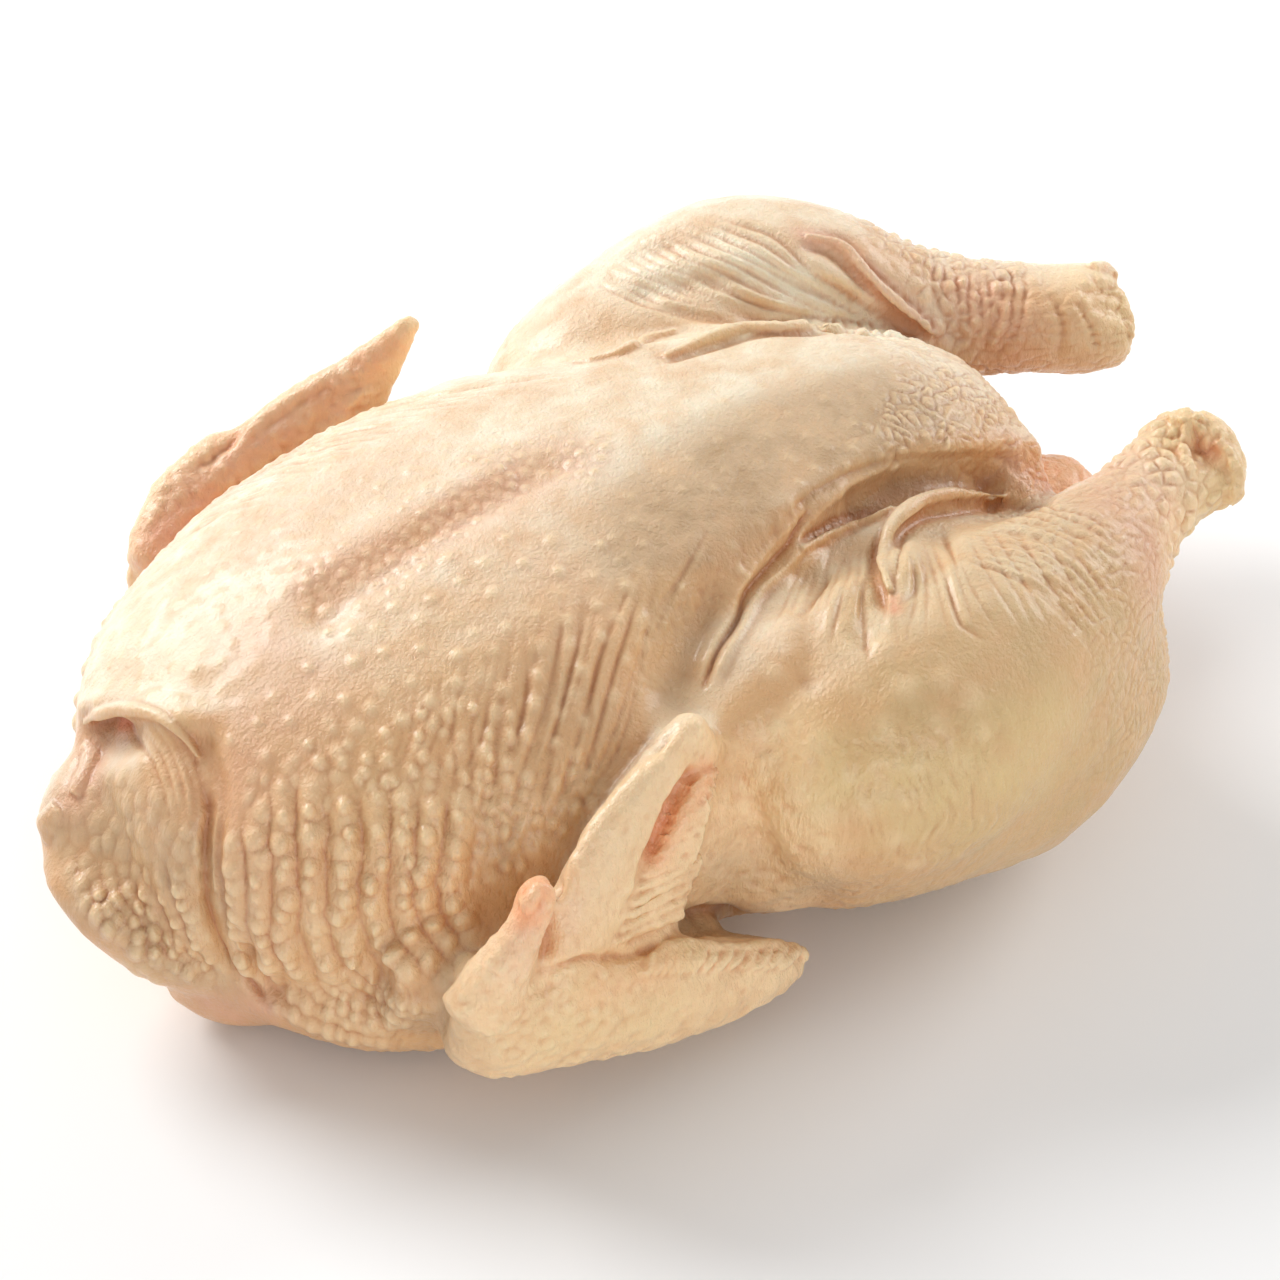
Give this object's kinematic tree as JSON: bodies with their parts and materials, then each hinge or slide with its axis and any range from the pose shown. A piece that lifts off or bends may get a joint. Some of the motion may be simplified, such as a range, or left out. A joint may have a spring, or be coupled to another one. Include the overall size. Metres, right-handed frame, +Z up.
{
  "type": "whole raw chicken",
  "caption": "Whole raw oven-ready chicken lying on its back, breast up, with bumpy yellow skin, folded wings, neck skin turned down, bare hocks and an open vent.",
  "frame": {"origin": "middle of the bounding box in plan, on the bed that the back rests on", "axes": "+X from the neck end to the hocks, +Y to the bird's own left side, +Z up through the breast"},
  "size_m": [0.2872, 0.1874, 0.0994],
  "materials": {
    "raw_skin": "moist satin"
  },
  "bodies": {
    "root": {"chicken": "raw_skin"}
  },
  "joints": []
}
